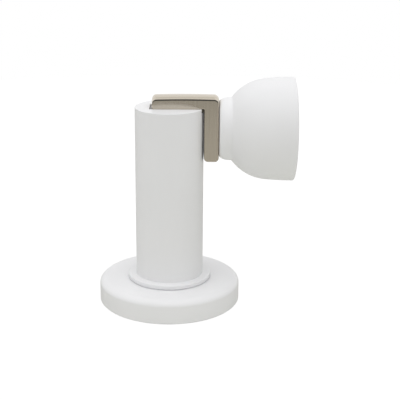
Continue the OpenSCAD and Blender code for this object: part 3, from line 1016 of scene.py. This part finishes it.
class DOORSTOP_OT_catch(bpy.types.Operator):
    """Builds the brushed catch."""
    bl_idname = "doorstop.catch"
    bl_label = "Build the catch"

    def execute(self, context):
        scene = context.scene
        nickel = brushed_nickel("brushed satin nickel", scene.doorstop_nickel)
        catch = build_catch(scene.doorstop_catch, nickel)
        add_grain_map(catch.data)
        # Painted shade on the faces against the post, under the arm and in the hollow.
        mark_painted_shade_faces(catch.data, scene.doorstop_catch)
        finish_piece(catch, "catch", degrees=35)
        return {"FINISHED"}


class DOORSTOP_OT_fasteners(bpy.types.Operator):
    """Makes the plates and the screws, and finishes the other zinc-plated pieces."""
    bl_idname = "doorstop.fasteners"
    bl_label = "Make plates and screws"

    def execute(self, context):
        sizes = context.scene.doorstop_fasteners
        zinc = plated_steel("zinc plate", ZINC_COLOUR, 0.34)
        for build, node in ((build_floor_plate, "floor_plate"), (build_door_plate, "door_plate"),
                            (build_centre_screw, "centre_screw"),
                            (build_catch_screw, "catch_screw"),
                            (build_grub_screw, "grub_screw")):
            finish_piece(build(sizes, zinc), node)
        for name in ZINC_NODES:
            dress(name, zinc)
        return {"FINISHED"}


class DOORSTOP_OT_inner_pieces(bpy.types.Operator):
    """Finishes the nylon pieces, the brass bush and the magnet."""
    bl_idname = "doorstop.inner_pieces"
    bl_label = "Finish the inner pieces"

    def execute(self, context):
        nylon = moulded_nylon("white nylon", WHITE_NYLON)
        for name in NYLON_NODES:
            dress(name, nylon)
        dress("foot_washer", moulded_nylon("grey nylon", GREY_NYLON))
        dress("threaded_bush", turned_brass("turned brass"))
        dress("magnet", plated_steel("magnet plate", MAGNET_COLOUR, 0.2))
        return {"FINISHED"}


def ramp_of(tree, value, stops):
    """Grey levels at places from 0 to 1."""
    node = add_node(tree, "ShaderNodeValToRGB", {"Fac": value})
    elements = node.color_ramp.elements
    elements[0].position, elements[1].position = stops[0][0], stops[-1][0]
    for place, _ in stops[1:-1]:
        elements.new(place)
    for element, (_, level) in zip(elements, stops):
        element.color = (level, level, level, 1)
    return node.outputs["Color"]


def height_of(tree, way):
    """How high a direction points, from 0 below to 1 above."""
    return map_range(tree, split(tree, way)["Z"], 0, 1, from_low=-1, from_high=1)


def tent_light(tree, way, settings):
    """Light of the tent by direction: four walls, each with three levels, and a ceiling."""
    maths = functools.partial(sum_of, tree)
    sides, height = split(tree, way), height_of(tree, way)
    level = add_node(tree, "ShaderNodeCombineXYZ", {"X": sides["X"], "Y": sides["Y"]}).outputs[0]
    flat = add_node(tree, "ShaderNodeVectorMath", {0: level}, operation="NORMALIZE").outputs[0]
    sides = split(tree, flat)
    total = 0
    for axis, sign, wall in (("Y", -1, settings.front_wall), ("Y", 1, settings.back_wall),
                             ("X", -1, settings.left_wall), ("X", 1, settings.right_wall)):
        facing = maths("MULTIPLY", sides[axis], sign, clamp=True)
        levels = [value / LIGHT_SCALE for value in (*wall, settings.ceiling)]
        light = ramp_of(tree, height, list(zip(WALL_HEIGHTS, levels)))
        part = maths("MULTIPLY", light, maths("MULTIPLY", facing, facing))
        total = maths("ADD", total, part)
    return maths("MULTIPLY", total, LIGHT_SCALE)


def mirrored_room(tree, way):
    """What polished metal shows: a bright wall behind, and a dark ceiling and front."""
    height = height_of(tree, way)
    facing = map_range(tree, split(tree, way)["Y"], 0, 1, from_low=0, from_high=ROOM_BLEND)
    return mixed(tree, facing, ramp_of(tree, height, ROOM_BEFORE),
                 ramp_of(tree, height, ROOM_BEHIND))


def build_light_tent(settings):
    """World light: a soft tent for matt faces, the room that metal mirrors, and white behind."""
    world = bpy.data.worlds.new("light tent")
    bpy.context.scene.world = world
    world.use_nodes = True
    tree = world.node_tree
    tree.nodes.clear()
    way = add_node(tree, "ShaderNodeTexCoord").outputs["Generated"]
    matt = add_node(tree, "ShaderNodeBackground",
                    {"Color": WHITE, "Strength": tent_light(tree, way, settings)})
    mirror = add_node(tree, "ShaderNodeBackground",
                      {"Color": mirrored_room(tree, way), "Strength": settings.reflection})
    white = add_node(tree, "ShaderNodeBackground", {"Color": WHITE})
    rays = add_node(tree, "ShaderNodeLightPath").outputs
    seen_in_metal = sum_of(tree, "MULTIPLY", rays["Is Glossy Ray"],
                           sum_of(tree, "LESS_THAN", rays["Diffuse Depth"], 0.5))
    unseen = either(tree, seen_in_metal, matt, mirror)
    last = either(tree, rays["Is Camera Ray"], unseen, white)
    add_node(tree, "ShaderNodeOutputWorld", {"Surface": last.outputs[0]})


def floor_material(settings):
    """A pale floor: white with a faint shadow to the camera, darker far out to polished metal."""
    material, tree, shader, output = clean_material("pale floor")
    set_inputs(tree, shader, {
        "Roughness": 0.9, "Specular IOR Level": 0, "Base Color": (*settings.floor_colour, 1)})
    distance = add_node(tree, "ShaderNodeVectorMath", {0: object_place(tree)},
                        operation="LENGTH").outputs["Value"]
    fade = map_range(tree, distance, settings.floor_near, settings.floor_far,
                     from_low=FADE_START, from_high=FADE_END)
    mirrored = add_node(tree, "ShaderNodeEmission", {"Color": WARM_WHITE, "Strength": fade})
    white = add_node(tree, "ShaderNodeEmission", {"Strength": PAPER_LIGHT})
    shaded = add_node(tree, "ShaderNodeBsdfDiffuse", {"Color": PAPER_SHADOW})
    paper = add_node(tree, "ShaderNodeAddShader", {0: white.outputs[0], 1: shaded.outputs[0]})
    rays = add_node(tree, "ShaderNodeLightPath").outputs
    unseen = either(tree, rays["Is Glossy Ray"], shader, mirrored)
    shown = either(tree, rays["Is Camera Ray"], unseen, paper)
    set_inputs(tree, output, {"Surface": shown.outputs[0]})
    return material


def build_camera(settings):
    """The camera that took the photo: its place, its turn and its lens."""
    data = bpy.data.cameras.new("camera")
    data.sensor_width = SENSOR_WIDTH
    data.lens = settings.lens
    data.clip_start, data.clip_end = CAMERA_RANGE
    camera = add_object("camera", data)
    pitch, yaw, roll = settings.pitch, settings.yaw, settings.roll
    ahead = Vector((-math.sin(yaw) * math.cos(pitch), math.cos(yaw) * math.cos(pitch),
                    -math.sin(pitch)))
    level_right = Vector((math.cos(yaw), math.sin(yaw), 0))
    level_up = level_right.cross(ahead)
    right = level_right * math.cos(roll) + level_up * math.sin(roll)
    up = level_up * math.cos(roll) - level_right * math.sin(roll)
    turn = Matrix((right, up, -ahead)).transposed().to_4x4()
    camera.matrix_world = Matrix.Translation(settings.camera_place) @ turn
    bpy.context.scene.camera = camera


class DOORSTOP_OT_studio(bpy.types.Operator):
    """Builds the floor, the light tent and the camera."""
    bl_idname = "doorstop.studio"
    bl_label = "Build the studio"

    def execute(self, context):
        settings = context.scene.doorstop_studio
        bm = bmesh.new()
        bmesh.ops.create_circle(bm, cap_ends=True, segments=FLOOR_SIDES,
                                radius=settings.floor_radius)
        floor = mesh_object("floor", bm)
        floor.data.materials.append(floor_material(settings))
        build_light_tent(settings)
        build_camera(settings)
        context.scene.view_settings.view_transform = "Standard"
        return {"FINISHED"}


class DOORSTOP_PT_panel(bpy.types.Panel):
    """Sizes, finishes and steps of the door stop."""
    bl_idname = "DOORSTOP_PT_panel"
    bl_label = "Magnetic Door Stop"
    bl_space_type = "VIEW_3D"
    bl_region_type = "UI"
    bl_category = "Door Stop"

    def draw(self, context):
        scene = context.scene
        for group, _, operators in STEPS:
            settings = getattr(scene, group)
            column = self.layout.column(align=True)
            for name in settings.__annotations__:
                column.prop(settings, name)
            for operator in operators:
                column.operator(operator.bl_idname)


STEPS = (
    ("doorstop_coat", CoatSettings, ()),
    ("doorstop_turning", TurningSettings, (DOORSTOP_OT_white_pieces,)),
    ("doorstop_nickel", NickelSettings, ()),
    ("doorstop_catch", CatchSettings, (DOORSTOP_OT_catch,)),
    ("doorstop_fasteners", FastenerSettings, (DOORSTOP_OT_fasteners, DOORSTOP_OT_inner_pieces)),
    ("doorstop_studio", StudioSettings, (DOORSTOP_OT_studio,)),
)
CLASSES = [cls for _, settings, operators in STEPS for cls in (settings, *operators)]
CLASSES.append(DOORSTOP_PT_panel)


def register():
    """Makes the classes known to Blender and gives the scene its settings."""
    for cls in CLASSES:
        bpy.utils.register_class(cls)
    for name, settings, _ in STEPS:
        setattr(bpy.types.Scene, name, PointerProperty(type=settings))


def unregister():
    """Takes back what register did."""
    for name, _, _ in STEPS:
        delattr(bpy.types.Scene, name)
    for cls in reversed(CLASSES):
        bpy.utils.unregister_class(cls)


def main():
    """Builds the door stop and its studio."""
    register()
    bpy.ops.doorstop.white_pieces()
    bpy.ops.doorstop.catch()
    bpy.ops.doorstop.fasteners()
    bpy.ops.doorstop.inner_pieces()
    bpy.ops.doorstop.studio()


if __name__ == "__main__":
    main()
